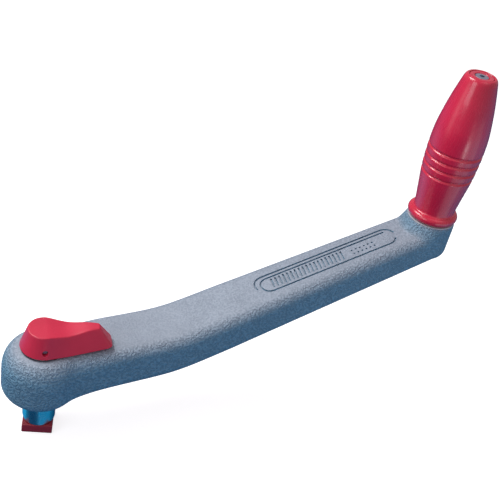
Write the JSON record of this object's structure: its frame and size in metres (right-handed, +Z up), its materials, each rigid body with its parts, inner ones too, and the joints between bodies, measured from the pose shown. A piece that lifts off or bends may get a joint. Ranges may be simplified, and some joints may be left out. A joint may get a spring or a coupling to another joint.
{
  "type": "winch handle",
  "caption": "Lock-in winch handle: moulded grey arm with a square metal drive, a sprung red lock lever over the drive and a free-spinning red grip.",
  "frame": {"origin": "on the drive axis, 3.4 mm below the flat shoulder round the drive that rests on the winch", "axes": "+Z up along the drive axis, out of the winch; +X from the drive towards the grip; +Y across the arm"},
  "size_m": [0.2931, 0.0436, 0.2098],
  "materials": {
    "arm_grey": "fine moulded grain, matte",
    "arm_dark": "matte",
    "red_gloss": "gloss",
    "lever_red": "satin",
    "dark_red": "satin",
    "drive_metal": "polished",
    "steel": "polished stainless",
    "brass": "machined",
    "nylon": "smooth",
    "rubber": "matte",
    "foam": "closed-cell foam"
  },
  "bodies": {
    "arm": {"arm_shell": "arm_grey", "arm_underside_cover": "arm_dark", "arm_cover_gasket": "rubber", "buoyancy_core": "foam", "drive_shank": "drive_metal", "drive_keeper_ring": "brass", "spindle_lower_bush": "nylon", "spindle_upper_bush": "nylon", "lock_return_spring": "steel", "hub_bearing_plate": "arm_dark", "spindle_seal_ring": "rubber", "lever_washer": "nylon", "grip_thrust_washer": "nylon", "grip_axle": "steel", "grip_retaining_screw": "steel", "grip_retaining_washer": "steel", "axle_threaded_insert": "brass", "axle_nut_washer": "steel", "axle_lock_nut": "steel", "arm_end_plug": "arm_dark"},
    "lock": {"lock_lever": "lever_red", "lever_cross_pin": "steel", "lock_spindle": "steel", "lock_plate": "dark_red", "lock_plate_screw": "steel"},
    "grip": {"grip_body": "red_gloss", "grip_end_cap": "red_gloss", "grip_upper_bush": "nylon", "grip_lower_bush": "nylon"}
  },
  "joints": [
    {"name": "lock_turn", "type": "hinge", "parent": "arm", "child": "lock", "pos_m": [0, 0, 0], "axis": [0, 0, 1], "range_deg": [0, 22.5], "stiffness_Nm_per_rad": 0.12, "springref_deg": -34.38, "deforming": ["lock_return_spring"]},
    {"name": "grip_spin", "type": "hinge", "parent": "arm", "child": "grip", "pos_m": [0.254, 0, 0], "axis": [0, 0, 1], "continuous": true}
  ]
}
